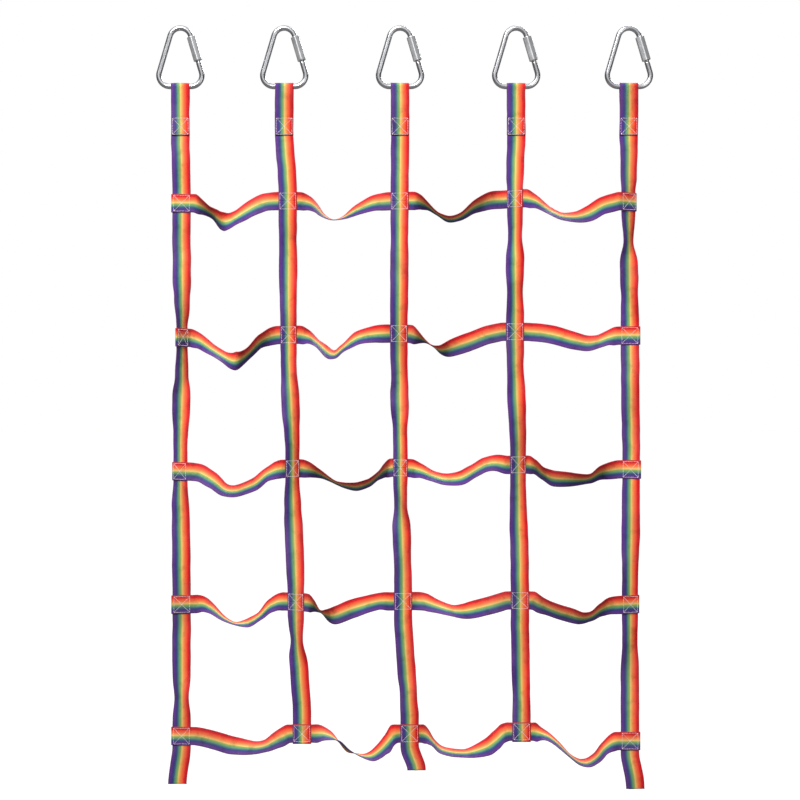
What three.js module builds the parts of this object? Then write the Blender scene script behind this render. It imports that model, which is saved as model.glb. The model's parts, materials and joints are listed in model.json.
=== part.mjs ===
// Cargo climbing net: five vertical webbing straps and five horizontal webbing rungs, sewn where they
// cross. Each vertical strap is looped over the base bar of a delta quick link that hangs the net up.
// Millimetres, +Z up, front of the net towards -Y. The origin is the inner crown of the middle link.
import * as THREE from 'three';

// ---- Driving dimensions ----
const NET_WIDTH = 1216; // over the outer edges of the outer straps, laid square
const ROW_PITCH = 348; // from one rung's centre line to the next
const FIRST_RUNG_DROP = 307; // from the loop's top to the first rung's centre line
const COLUMNS = 5;
const ROWS = 5;

const STRAP_WIDTH = 48;
const STRAP_THICKNESS = 2;
const LAYER_GAP = 0.3; // between sewn layers
const LOOP_LENGTH = 136; // from the loop's top down to the cut end of its front layer
const LOOP_SEAM_HEIGHT = 46; // sewn part of the loop, above that cut end
const FLAT_MARGIN = 4; // a column stays flat this far beyond each crossing
const RUNG_MARGIN = 10; // a rung stays level this far beyond each crossing
const END_TAB_INSET = 2; // cut ends stop this far inside the edge of the strap that they are sewn to

const TAIL_DROPS = { 1: 125, 3: 95, 5: 125 }; // column: cut end below the last rung's centre line
const TAIL_LEANS = { 1: -11, 3: 18, 5: 14 }; // column: sideways lean of the tail's cut end
const FOLD_GAP = 3.2; // slit between strap sections on a fold line
const TAIL_GAP = 2.4; // slit above a tail
const TAIL_FOLD_DROP = 3; // from the last rung's lower edge down to the tails' fold line

const LINK_HEIGHT = 166;
const ROD_DIAMETER = 14;
const CROWN_RADIUS = 28; // of the rod's centre line
const CORNER_RADIUS = 29; // of the rod's centre line
const BAR_SIDE_CLEARANCE = 3; // between a strap's edge and the link's corner
const LOOP_CLEARANCE = 0.5; // between the loop and the bar
const SLEEVE_LENGTH = 64;
const SLEEVE_FLATS = 22;
const SLEEVE_CLEARANCE = 0.5; // radial, over the rod
const SLEEVE_START = 3; // from the top of the straight leg down to the closed sleeve
const GATE_START = 12; // from the top of the straight leg down to the gap in the rod
const GATE_OPENING = 16;

const ROD_SIDES = 10;
const ARC_STEPS = 6;
const LOOP_STEPS = 10;
const FOLD_STEPS = 6;
const SPAN_STEPS = 14;

// ---- How the net hangs ----
// Where each crossing lies, [sideways, up] from its place on a square grid: one line for each rung from
// the top down, one pair for each column from the left.
const CROSSING_SHIFTS = [
  [[16, -6], [0, 0], [-1, 0], [7, 6], [10, -2]],
  [[17, -7], [2, 0], [-3, 3], [7, 8], [14, -2]],
  [[13, -7], [12, 0], [1, 2], [15, 10], [17, -2]],
  [[16, -5], [21, 1], [8, 3], [20, 5], [14, -5]],
  [[16, 1], [37, 7], [25, 7], [24, 12], [14, -12]],
];
const LOOP_SHIFTS = [13, -9, 0, 10, 11]; // sideways shift of each loop

// How far each crossing has turned about the vertical, in degrees, its right edge to the front when
// positive: one line for each rung from the top down.
const CROSSING_TURNS = [
  [0, 0, 10, 34, -34],
  [-60, 24, -18, -8, 8],
  [34, -44, 38, -28, 26],
  [-16, 24, -10, 0, -22],
  [0, 0, 0, 0, 0],
];

// The slack of each rung between two columns, left to right: [share of the span, sag, roll]. Sag is
// below the line through the span's ends, and roll turns the webbing about its own run, in degrees,
// its top edge away from the front when positive.
const RUNG_SPANS = [
  [
    [
      [0.1, 10, -45], [0.22, 28, -60], [0.33, 48, -30], [0.42, 51, 25], [0.53, 40, 42],
      [0.7, 18, 28], [0.88, 2, 12],
    ],
    [
      [0.1, 5, 40], [0.18, 18, 65], [0.26, 38, 80], [0.37, 50, 86], [0.5, 43, 76],
      [0.66, 22, 54], [0.84, 5, 28],
    ],
    [
      [0.08, 2, -42], [0.17, 15, -75], [0.27, 35, -86], [0.39, 50, -76], [0.52, 43, -66],
      [0.67, 17, -48], [0.84, 3, -18],
    ],
    [[0.1, 8, 45], [0.24, 30, 64], [0.38, 45, 62], [0.55, 45, 46], [0.68, 34, 28], [0.82, 14, 18]],
  ],
  [
    [
      [0.1, 9, 38], [0.25, 33, 60], [0.4, 55, 58], [0.49, 65, 25], [0.57, 61, -40],
      [0.68, 43, -62], [0.8, 16, -50], [0.92, 4, -24],
    ],
    [
      [0.1, 7, 50], [0.2, 24, 70], [0.32, 48, 56], [0.4, 54, 60], [0.5, 36, 66], [0.66, 11, 46],
      [0.85, 1, 26],
    ],
    [
      [0.08, 8, -50], [0.16, 19, -80], [0.25, 35, -84], [0.33, 45, -60], [0.45, 39, -24],
      [0.62, 26, 0], [0.82, 9, 4],
    ],
    [[0.25, 4, 5], [0.5, 17, 12], [0.67, 23, 28], [0.8, 17, 45], [0.9, 7, 40]],
  ],
  [
    [
      [0.12, 5, 20], [0.25, 24, 42], [0.38, 50, 54], [0.5, 54, 52], [0.7, 38, 52],
      [0.83, 14, 52], [0.93, 3, 28],
    ],
    [
      [0.1, 4, -34], [0.22, 16, -60], [0.38, 37, -74], [0.5, 46, -68], [0.62, 49, -58],
      [0.76, 39, -62], [0.86, 20, -66], [0.93, 6, -46],
    ],
    [
      [0.1, 7, 42], [0.22, 22, 58], [0.36, 32, 53], [0.52, 30, 44], [0.65, 14, 52],
      [0.77, -2, 46], [0.88, -6, 32],
    ],
    [
      [0.07, 5, -46], [0.16, 22, -52], [0.27, 33, -28], [0.42, 33, -32], [0.56, 32, -48],
      [0.68, 28, -56], [0.8, 11, -38],
    ],
  ],
  [
    [
      [0.1, 1, 42], [0.2, 14, 68], [0.32, 38, 84], [0.45, 53, 88], [0.6, 52, 68],
      [0.72, 36, 74], [0.82, 13, 60], [0.92, 1, 34],
    ],
    [
      [0.08, 8, -54], [0.16, 25, -78], [0.25, 34, -38], [0.36, 31, 0], [0.52, 18, 6],
      [0.7, 7, 28], [0.87, -1, 30],
    ],
    [[0.1, 2, 28], [0.22, 13, 50], [0.4, 25, 58], [0.52, 27, 42], [0.65, 21, 22], [0.83, 11, 20]],
    [
      [0.12, 12, -25], [0.3, 26, -29], [0.48, 34, -30], [0.58, 38, -44], [0.68, 32, -54],
      [0.78, 15, -44], [0.88, 4, -18],
    ],
  ],
  [
    [[0.15, 8, 10], [0.35, 22, 20], [0.5, 29, 38], [0.65, 33, 57], [0.76, 29, 58], [0.87, 15, 38]],
    [
      [0.1, 0, 50], [0.2, 7, 78], [0.3, 22, 108], [0.4, 42, 112], [0.5, 51, 98], [0.6, 58, 86],
      [0.7, 57, 66], [0.8, 43, 54], [0.88, 25, 48], [0.95, 6, 30],
    ],
    [
      [0.05, 5, 56], [0.12, 23, 80], [0.21, 42, 78], [0.35, 50, 74], [0.5, 52, 72], [0.65, 46, 52],
      [0.77, 36, 34], [0.87, 19, 38], [0.94, 5, 34],
    ],
    [
      [0.06, 3, 52], [0.16, 8, 74], [0.28, 24, 84], [0.42, 50, 88], [0.54, 65, 80], [0.65, 64, 73],
      [0.76, 47, 72], [0.85, 22, 66], [0.93, 7, 42],
    ],
  ],
];
const SPAN_BULGE = 8; // the middle of a slack span stands this far in front of its ends

// How the vertical straps twist, [roll above the fold line, roll below it] in degrees, its right edge
// to the front when positive: one line for each column, one pair for each length between crossings,
// the first one below the loop.
const COLUMN_TWISTS = [
  [[0, 0], [0, -36], [-50, 30], [12, -10], [0, 34]],
  [[0, 0], [-18, 18], [28, -36], [-24, 0], [45, 0]],
  [[0, 8], [18, -12], [-24, 38], [48, -22], [0, 20]],
  [[10, 20], [44, -28], [-22, -18], [-20, 0], [0, 22]],
  [[-14, -20], [-52, 33], [14, 16], [22, -20], [-28, 0]],
];

// ---- Places worked out from the dimensions ----
const HALF_WIDTH = STRAP_WIDTH / 2;
const LAYER_PITCH = STRAP_THICKNESS + LAYER_GAP; // centre to centre of two sewn layers
const STRAP_Y = LAYER_PITCH / 2; // mid-plane of the vertical straps, the loop's back layer
const COLUMN_PITCH = (NET_WIDTH - STRAP_WIDTH) / (COLUMNS - 1);
const FLAT_HALF = HALF_WIDTH + FLAT_MARGIN;
const SQUARE_HALF = HALF_WIDTH + FLAT_MARGIN / 4; // held square to the other strap this far out
const LEVEL_HALF = HALF_WIDTH + RUNG_MARGIN;

const ROD_RADIUS = ROD_DIAMETER / 2;
const CROWN_Z = ROD_RADIUS; // rod's centre line at the crown
const BAR_Z = CROWN_Z - (LINK_HEIGHT - ROD_DIAMETER);
const BAR_HALF = HALF_WIDTH + BAR_SIDE_CLEARANCE;
const LOOP_RADIUS = ROD_RADIUS + LOOP_CLEARANCE + STRAP_THICKNESS / 2;
const LOOP_TOP_Z = BAR_Z + LOOP_RADIUS + STRAP_THICKNESS / 2;
const SEAM_TOP_Z = LOOP_TOP_Z - LOOP_LENGTH + LOOP_SEAM_HEIGHT;
const SEAM_END_Z = LOOP_TOP_Z - LOOP_LENGTH;

const numbers = (count) => Array.from({ length: count }, (_, i) => i);
const columnNumbers = numbers(COLUMNS).map((i) => i + 1);
const rowNumbers = numbers(ROWS).map((i) => i + 1);

const squareX = (column) => (column - (COLUMNS + 1) / 2) * COLUMN_PITCH;
const loopX = (column) => squareX(column) + LOOP_SHIFTS[column - 1];
const levelZ = (row) => LOOP_TOP_Z - FIRST_RUNG_DROP - (row - 1) * ROW_PITCH;
const crossingX = (column, row) => squareX(column) + CROSSING_SHIFTS[row - 1][column - 1][0];
const crossingZ = (column, row) => levelZ(row) + CROSSING_SHIFTS[row - 1][column - 1][1];
const foldZ = (row) => levelZ(row) + ROW_PITCH / 2; // fold line above a row, from the second row on
const crossingTurn = (column, row) => CROSSING_TURNS[row - 1][column - 1];
const tailFoldZ = (column) => crossingZ(column, ROWS) - HALF_WIDTH - TAIL_FOLD_DROP;

// ---- Materials ----
const webbing = new THREE.MeshStandardMaterial({ color: 0xd8432c, roughness: 0.85, metalness: 0 });
const rungWebbing = new THREE.MeshStandardMaterial({ color: 0xe0803c, roughness: 0.85, metalness: 0 });
const linkSteel = new THREE.MeshStandardMaterial({ color: 0xa9abb0, roughness: 0.22, metalness: 1 });
const sleeveSteel = new THREE.MeshStandardMaterial({ color: 0xc6c7ca, roughness: 0.38, metalness: 1 });

// ---- Solids from rings ----
// A closed solid through rings of points, each ring in the same sense, capped at both ends. Opposite
// faces are split along matching diagonals, so that a thin strip can twist without crossing itself.
function loft(rings) {
  const sides = rings[0].length;
  const positions = rings.flat().flatMap((point) => point.toArray());
  const faces = [];
  for (let ring = 0; ring + 1 < rings.length; ring += 1) {
    for (let side = 0; side < sides; side += 1) {
      const next = (side + 1) % sides;
      const a = ring * sides + side;
      const b = ring * sides + next;
      if (side < sides / 2) {
        faces.push(a, b, a + sides, b, b + sides, a + sides);
      } else {
        faces.push(a, b, b + sides, a, b + sides, a + sides);
      }
    }
  }
  const last = (rings.length - 1) * sides;
  for (let side = 1; side + 1 < sides; side += 1) {
    faces.push(0, side + 1, side, last, last + side, last + side + 1);
  }
  const geometry = new THREE.BufferGeometry();
  geometry.setAttribute('position', new THREE.Float32BufferAttribute(positions, 3));
  geometry.setIndex(faces);
  geometry.computeVertexNormals();
  return geometry;
}

// A strap along stations { at, roll }. "flat" is the direction that the width lies along at no roll.
// Each ring is sheared within the strap's own plane until it is square to the strap's general run, so
// that neighbouring rings stay apart where the strap bends edgeways.
function strap(stations, flat) {
  const rings = stations.map((station, i) => {
    const before = stations[Math.max(i - 1, 0)].at;
    const after = stations[Math.min(i + 1, stations.length - 1)].at;
    const along = after.clone().sub(before).normalize();
    const run = along.clone().addScaledVector(flat, -flat.dot(along)).normalize();
    const across = flat.clone().addScaledVector(along, -flat.dot(along)).normalize();
    across.applyAxisAngle(along, station.roll);
    const face = new THREE.Vector3().crossVectors(along, across);
    across.addScaledVector(along, -across.dot(run) / along.dot(run));
    const corner = (u, v) => station.at.clone()
      .addScaledVector(across, u * HALF_WIDTH)
      .addScaledVector(face, (v * STRAP_THICKNESS) / 2);
    return [corner(-1, -1), corner(1, -1), corner(1, 1), corner(-1, 1)];
  });
  return loft(rings);
}

const radians = THREE.MathUtils.degToRad;
const mix = THREE.MathUtils.lerp;
const eased = (t) => THREE.MathUtils.smoothstep(t, 0, 1);
const station = (x, y, z, roll = 0) => ({ at: new THREE.Vector3(x, y, z), roll });

// A place at a crossing, from the middle of the vertical strap there: sideways along the rung and
// back through the layers, both turned with the crossing, and up.
function atCrossing(column, row, sideways, back, up = 0) {
  return new THREE.Vector3(sideways, back, up)
    .applyAxisAngle(new THREE.Vector3(0, 0, 1), -radians(crossingTurn(column, row)))
    .add(new THREE.Vector3(crossingX(column, row), STRAP_Y, crossingZ(column, row)));
}

// ---- Rungs ----
// The rung's layer, back from the vertical straps' mid-plane. In the last row the columns' ends pass
// behind the rung. Above it the rung passes behind them.
const rungLayer = (column, row) => {
  if (column === 1 || column === COLUMNS) return -LAYER_PITCH;
  return row === ROWS ? 0 : LAYER_PITCH;
};
const onRung = (column, row, sideways) => atCrossing(column, row, sideways, rungLayer(column, row));

function rungSpan(row, column) {
  const start = onRung(column, row, LEVEL_HALF);
  const end = onRung(column + 1, row, -LEVEL_HALF);
  const slack = RUNG_SPANS[row - 1][column - 1].map((place) => new THREE.Vector3(...place));
  const curve = new THREE.CatmullRomCurve3(
    [new THREE.Vector3(0, 0, 0), ...slack, new THREE.Vector3(1, 0, 0)], false, 'catmullrom', 0.4,
  );
  const loose = curve.getPoints(SPAN_STEPS).map(({ x: share, y: sag, z: roll }) => station(
    mix(start.x, end.x, share),
    mix(start.y, end.y, eased(share)) - SPAN_BULGE * Math.sin(Math.PI * share) ** 2,
    mix(start.z, end.z, share) - sag,
    radians(-roll),
  ));
  return [
    { at: onRung(column, row, SQUARE_HALF), roll: 0 },
    ...loose,
    { at: onRung(column + 1, row, -SQUARE_HALF), roll: 0 },
  ];
}

// A rung's end wraps round the outer column's edge and is sewn down behind it. side: -1 left, 1 right.
function rungEnd(row, column, side) {
  const tab = atCrossing(column, row, -side * (HALF_WIDTH - END_TAB_INSET), LAYER_PITCH);
  const fold = numbers(FOLD_STEPS + 1).map((i) => {
    const angle = Math.PI * (0.5 - i / FOLD_STEPS);
    const sideways = side * (HALF_WIDTH + LAYER_PITCH * Math.cos(angle));
    return atCrossing(column, row, sideways, LAYER_PITCH * Math.sin(angle));
  });
  const stations = [tab, ...fold].map((at) => ({ at, roll: 0 }));
  return side < 0 ? stations : stations.reverse();
}

function rung(row) {
  const spans = columnNumbers.slice(0, -1).flatMap((column) => rungSpan(row, column));
  const stations = [...rungEnd(row, 1, -1), ...spans, ...rungEnd(row, COLUMNS, 1)];
  return strap(stations, new THREE.Vector3(0, 0, 1));
}

// ---- Vertical straps ----
// One length of a column between two heights. The rolls are at its top, its quarters and its bottom.
function columnRun(top, bottom, rolls) {
  const rollAt = (share) => {
    const quarter = Math.min(Math.floor(share * (rolls.length - 1)), rolls.length - 2);
    return mix(rolls[quarter], rolls[quarter + 1], eased(share * (rolls.length - 1) - quarter));
  };
  return numbers(SPAN_STEPS + 1)
    .map((i) => i / SPAN_STEPS)
    .map((share) => station(
      mix(top.x, bottom.x, eased(share)),
      mix(top.y, bottom.y, eased(share)),
      mix(top.z, bottom.z, share),
      radians(rollAt(share)),
    ));
}

// A length turns from one crossing's turn to the next one's, and is flat on the fold line halfway.
function rollsAbove(column, row) {
  const [upper, lower] = COLUMN_TWISTS[column - 1][row - 1];
  const end = crossingTurn(column, row);
  if (row === 1) return [0, upper, (upper + lower) / 2, lower, end];
  return [crossingTurn(column, row - 1), upper, 0, lower, end];
}

// The last row's rung is in front of every column, so its columns' ends step back behind it.
const columnY = (column, row) => {
  const outer = column === 1 || column === COLUMNS;
  return row < ROWS || outer ? STRAP_Y : STRAP_Y + LAYER_PITCH;
};
const crossingPoint = (column, row, side, reach = FLAT_HALF) => new THREE.Vector3(
  crossingX(column, row), columnY(column, row), crossingZ(column, row) + side * reach,
);
const squareStation = (column, row, side) => ({
  at: crossingPoint(column, row, side, SQUARE_HALF), roll: radians(crossingTurn(column, row)),
});

// The strap between two crossings is cut on the fold line, and each half belongs to its nearer row.
function halfRun(column, row, upper) {
  const top = crossingPoint(column, row - 1, -1);
  const bottom = crossingPoint(column, row, 1);
  const fold = (top.z - foldZ(row)) / (top.z - bottom.z);
  const slit = FOLD_GAP / 2 / (top.z - bottom.z);
  const whole = columnRun(top, bottom, rollsAbove(column, row));
  const clear = (z) => (upper ? z > foldZ(row) + FOLD_GAP : z < foldZ(row) - FOLD_GAP);
  const kept = whole.filter(({ at }) => clear(at.z));
  const share = upper ? fold - slit : fold + slit;
  const edge = station(
    mix(top.x, bottom.x, eased(share)), mix(top.y, bottom.y, eased(share)), mix(top.z, bottom.z, share),
  );
  return upper
    ? [squareStation(column, row - 1, -1), ...kept, edge]
    : [edge, ...kept, squareStation(column, row, 1)];
}

// The loop: up the front layer from its cut end, over the link's bar and down the back layer.
function loopStations(column) {
  const x = loopX(column);
  const lean = Math.asin((LOOP_RADIUS - STRAP_Y) / (BAR_Z - SEAM_TOP_Z));
  const arc = numbers(LOOP_STEPS + 1).map((i) => {
    const angle = mix(-lean, Math.PI + lean, i / LOOP_STEPS);
    return station(x, -LOOP_RADIUS * Math.cos(angle), BAR_Z + LOOP_RADIUS * Math.sin(angle));
  });
  return [
    station(x, -STRAP_Y, SEAM_END_Z),
    station(x, -STRAP_Y, SEAM_TOP_Z),
    ...arc,
    station(x, STRAP_Y, SEAM_TOP_Z),
  ];
}

function loopedSection(column) {
  const seamEnd = new THREE.Vector3(loopX(column), STRAP_Y, SEAM_END_Z);
  const toRung = columnRun(seamEnd, crossingPoint(column, 1, 1), rollsAbove(column, 1));
  const stations = [
    ...loopStations(column), ...toRung, squareStation(column, 1, 1), ...halfRun(column, 2, true),
  ];
  return strap(stations, new THREE.Vector3(1, 0, 0));
}

function middleSection(column, row) {
  const stations = [...halfRun(column, row, false), ...halfRun(column, row + 1, true)];
  return strap(stations, new THREE.Vector3(1, 0, 0));
}

// The second and fourth columns end folded round the last rung, the cut end up in front of it.
function foldedEnd(column) {
  const x = crossingX(column, ROWS);
  const z = crossingZ(column, ROWS);
  const fold = numbers(FOLD_STEPS + 1).map((i) => {
    const angle = (Math.PI * i) / FOLD_STEPS;
    return station(
      x, STRAP_Y + LAYER_PITCH * Math.cos(angle), z - HALF_WIDTH - LAYER_PITCH * Math.sin(angle),
    );
  });
  return [...fold, station(x, STRAP_Y - LAYER_PITCH, z + HALF_WIDTH - END_TAB_INSET)];
}

// The outer columns run on to their tails. The middle one is cut behind the rung.
function plainEnd(column) {
  const outer = column === 1 || column === COLUMNS;
  const cut = crossingZ(column, ROWS) - HALF_WIDTH + END_TAB_INSET;
  const z = outer ? tailFoldZ(column) + TAIL_GAP / 2 : cut;
  return [station(crossingX(column, ROWS), columnY(column, ROWS), z)];
}

function lastSection(column) {
  const end = column === 2 || column === 4 ? foldedEnd(column) : plainEnd(column);
  return strap([...halfRun(column, ROWS, false), ...end], new THREE.Vector3(1, 0, 0));
}

// ---- Tails ----
// The middle tail is a piece of its own, sewn on in front of the last rung.
const tailY = (column) => (column === 3 ? STRAP_Y - LAYER_PITCH : STRAP_Y);

function tail(column) {
  const top = new THREE.Vector3(crossingX(column, ROWS), tailY(column), tailFoldZ(column) - TAIL_GAP / 2);
  const bottom = new THREE.Vector3(
    top.x + TAIL_LEANS[column], top.y, crossingZ(column, ROWS) - TAIL_DROPS[column],
  );
  return strap(columnRun(top, bottom, [0, 0]), new THREE.Vector3(1, 0, 0));
}

function tailPatch(column) {
  const x = crossingX(column, ROWS);
  const top = crossingZ(column, ROWS) + HALF_WIDTH - END_TAB_INSET;
  const bottom = tailFoldZ(column) + TAIL_GAP / 2;
  return strap(
    [station(x, tailY(column), top), station(x, tailY(column), bottom)], new THREE.Vector3(1, 0, 0),
  );
}

// ---- Quick links ----
// The rod's centre line is a round-cornered triangle. Its straight legs touch the crown's arc and the
// corners' arcs, and lean out by LEG_LEAN.
const CORNER_Z = BAR_Z + CORNER_RADIUS;
const CROWN_CENTRE_Z = CROWN_Z - CROWN_RADIUS;
const LEG_CENTRES = new THREE.Vector2(BAR_HALF, CROWN_CENTRE_Z - CORNER_Z);
const LEG_LEAN = Math.atan2(LEG_CENTRES.x, LEG_CENTRES.y)
  + Math.asin((CORNER_RADIUS - CROWN_RADIUS) / LEG_CENTRES.length());
const LEG_OUT = new THREE.Vector3(Math.cos(LEG_LEAN), 0, Math.sin(LEG_LEAN)); // out of the right leg
const LEG_DOWN = new THREE.Vector3(Math.sin(LEG_LEAN), 0, -Math.cos(LEG_LEAN)); // down the right leg
const LEG_TOP = new THREE.Vector3(0, 0, CROWN_CENTRE_Z).addScaledVector(LEG_OUT, CROWN_RADIUS);

const legPoint = (distance) => LEG_TOP.clone().addScaledVector(LEG_DOWN, distance);

function rodArc(centreX, centreZ, radius, fromAngle, toAngle) {
  return numbers(ARC_STEPS + 1).map((i) => {
    const angle = mix(fromAngle, toAngle, i / ARC_STEPS);
    return new THREE.Vector3(centreX + radius * Math.cos(angle), 0, centreZ + radius * Math.sin(angle));
  });
}

function quickLink() {
  const quarter = Math.PI / 2;
  const path = [
    legPoint(GATE_START + GATE_OPENING),
    ...rodArc(BAR_HALF, CORNER_Z, CORNER_RADIUS, LEG_LEAN, -quarter),
    ...rodArc(-BAR_HALF, CORNER_Z, CORNER_RADIUS, -quarter, -Math.PI - LEG_LEAN),
    ...rodArc(0, CROWN_CENTRE_Z, CROWN_RADIUS, Math.PI - LEG_LEAN, LEG_LEAN),
    legPoint(GATE_START),
  ];
  const rings = path.map((at, i) => {
    const before = path[Math.max(i - 1, 0)];
    const after = path[Math.min(i + 1, path.length - 1)];
    const along = after.clone().sub(before).normalize();
    const out = new THREE.Vector3(0, 1, 0).cross(along);
    return numbers(ROD_SIDES).map((side) => {
      const angle = (2 * Math.PI * side) / ROD_SIDES;
      return at.clone()
        .addScaledVector(out, ROD_RADIUS * Math.cos(angle))
        .add(new THREE.Vector3(0, ROD_RADIUS * Math.sin(angle), 0));
    });
  });
  return loft(rings);
}

// The sleeve is a hexagon nut, long enough to bridge the gap in the rod, with a bore for the rod.
function screwSleeve() {
  const corner = SLEEVE_FLATS / Math.sqrt(3);
  const outline = new THREE.Shape(numbers(6).map((i) => {
    const angle = (i * Math.PI) / 3;
    return new THREE.Vector2(corner * Math.cos(angle), corner * Math.sin(angle));
  }));
  const bore = new THREE.Path();
  bore.absarc(0, 0, ROD_RADIUS + SLEEVE_CLEARANCE, 0, 2 * Math.PI, true);
  outline.holes.push(bore);
  const shape = new THREE.ExtrudeGeometry(outline, {
    depth: SLEEVE_LENGTH, bevelEnabled: false, curveSegments: 24,
  });
  return shape.translate(0, 0, -SLEEVE_LENGTH);
}

// ---- The object ----
const net = new THREE.Group();

function add(name, geometry, material, parent = net) {
  const mesh = new THREE.Mesh(geometry, material);
  mesh.name = name;
  parent.add(mesh);
  return mesh;
}

for (const column of columnNumbers) {
  const hanger = new THREE.Group();
  hanger.position.x = loopX(column);
  net.add(hanger);
  add(`quick_link_${column}`, quickLink(), linkSteel, hanger);
  const sleeve = add(`screw_sleeve_${column}`, screwSleeve(), sleeveSteel, hanger);
  sleeve.position.copy(legPoint(SLEEVE_START));
  sleeve.rotation.y = -LEG_LEAN;

  add(`strap_${column}_loop`, loopedSection(column), webbing);
  for (const row of rowNumbers.slice(1, -1)) {
    add(`strap_${column}_section_${row}`, middleSection(column, row), webbing);
  }
  add(`strap_${column}_section_${ROWS}`, lastSection(column), webbing);
}

for (const row of rowNumbers) {
  add(`rung_${row}`, rung(row), rungWebbing);
}

for (const column of [1, 3, 5]) {
  add(`tail_${column}`, tail(column), webbing);
}
add('tail_patch_3', tailPatch(3), webbing);

export default net;
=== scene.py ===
"""Cargo climbing net: rainbow webbing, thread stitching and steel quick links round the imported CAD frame.

Metres, +Z up, front of the net towards -Y. The hanging shape follows part.mjs, whose sizes and slack
tables are repeated here in its millimetres.
"""

import json
import math

import bpy
import numpy as np
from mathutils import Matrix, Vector


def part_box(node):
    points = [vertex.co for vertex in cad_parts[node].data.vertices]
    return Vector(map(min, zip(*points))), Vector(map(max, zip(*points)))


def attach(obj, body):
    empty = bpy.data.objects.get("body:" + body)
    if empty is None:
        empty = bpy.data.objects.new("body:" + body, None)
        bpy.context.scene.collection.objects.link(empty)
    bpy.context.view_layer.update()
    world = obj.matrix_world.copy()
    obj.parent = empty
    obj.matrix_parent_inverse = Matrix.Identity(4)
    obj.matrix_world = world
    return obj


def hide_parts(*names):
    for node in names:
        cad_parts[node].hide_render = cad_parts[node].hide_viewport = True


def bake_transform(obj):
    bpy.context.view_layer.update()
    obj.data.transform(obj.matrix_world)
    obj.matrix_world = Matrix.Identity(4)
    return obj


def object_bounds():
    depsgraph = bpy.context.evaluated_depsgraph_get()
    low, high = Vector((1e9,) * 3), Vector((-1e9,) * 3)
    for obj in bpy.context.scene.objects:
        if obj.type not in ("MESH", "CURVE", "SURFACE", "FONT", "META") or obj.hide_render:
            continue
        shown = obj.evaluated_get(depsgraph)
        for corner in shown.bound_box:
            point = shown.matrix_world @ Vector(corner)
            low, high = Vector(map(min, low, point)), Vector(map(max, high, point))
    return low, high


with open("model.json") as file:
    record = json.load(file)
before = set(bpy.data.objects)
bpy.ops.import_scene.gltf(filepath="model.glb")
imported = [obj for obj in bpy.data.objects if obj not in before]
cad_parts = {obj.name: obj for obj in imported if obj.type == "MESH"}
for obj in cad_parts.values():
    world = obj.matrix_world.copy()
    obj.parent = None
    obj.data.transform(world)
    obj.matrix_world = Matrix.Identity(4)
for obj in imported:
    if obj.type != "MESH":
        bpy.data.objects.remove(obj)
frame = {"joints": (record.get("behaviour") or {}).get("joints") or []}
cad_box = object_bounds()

MM = 0.001

# ---- What the frame says ----
JOINTS = {joint["name"]: joint for joint in frame["joints"]}
STRAP_Y = JOINTS["fold_2"]["pos_m"][1]  # mid-plane of the vertical straps
BAR_Z = JOINTS["net_swing"]["pos_m"][2]  # centre of the links' bars
ROW_PITCH = JOINTS["fold_2"]["pos_m"][2] - JOINTS["fold_3"]["pos_m"][2]
FIRST_LEVEL = JOINTS["fold_2"]["pos_m"][2] + ROW_PITCH / 2
LEG_DOWN = Vector(JOINTS["sleeve_1_unscrew"]["axis"]).normalized()
COLUMNS = 5
ROWS = 5
columns = range(1, COLUMNS + 1)
rows = range(1, ROWS + 1)

# ---- Sizes, as in the CAD source ----
NET_WIDTH = 1.216
STRAP_WIDTH = 0.048
STRAP_THICKNESS = 0.002
LAYER_PITCH = 0.0023  # centre to centre of two sewn layers
LOOP_LENGTH = 0.136
LOOP_SEAM_HEIGHT = 0.046
LOOP_CLEARANCE = 0.0005
FLAT_MARGIN = 0.004
RUNG_MARGIN = 0.010
END_TAB_INSET = 0.002
TAIL_DROPS = {1: 0.125, 3: 0.095, 5: 0.125}
TAIL_LEANS = {1: -0.011, 3: 0.018, 5: 0.014}
TAIL_FOLD_DROP = 0.003
SPAN_BULGE = 0.008
ROD_RADIUS = 0.007
CROWN_RADIUS = 0.028
CORNER_RADIUS = 0.029
BAR_SIDE_CLEARANCE = 0.003
SLEEVE_LENGTH = 0.064
SLEEVE_FLATS = 0.022
SLEEVE_BORE = 0.0075
SLEEVE_START = 0.003
GATE_START = 0.012
GATE_OPENING = 0.016

# Millimetres, [sideways, up] of each crossing from its place on a square grid: rungs from the top
# down, columns from the left.
CROSSING_SHIFTS = [
    [[16, -6], [0, 0], [-1, 0], [7, 6], [10, -2]],
    [[17, -7], [2, 0], [-3, 3], [7, 8], [14, -2]],
    [[13, -7], [12, 0], [1, 2], [15, 10], [17, -2]],
    [[16, -5], [21, 1], [8, 3], [20, 5], [14, -5]],
    [[16, 1], [37, 7], [25, 7], [24, 12], [14, -12]],
]

# Degrees that each crossing has turned about the vertical, its right edge to the front when positive.
CROSSING_TURNS = [
    [0, 0, 10, 34, -34],
    [-60, 24, -18, -8, 8],
    [34, -44, 38, -28, 26],
    [-16, 24, -10, 0, -22],
    [0, 0, 0, 0, 0],
]

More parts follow.
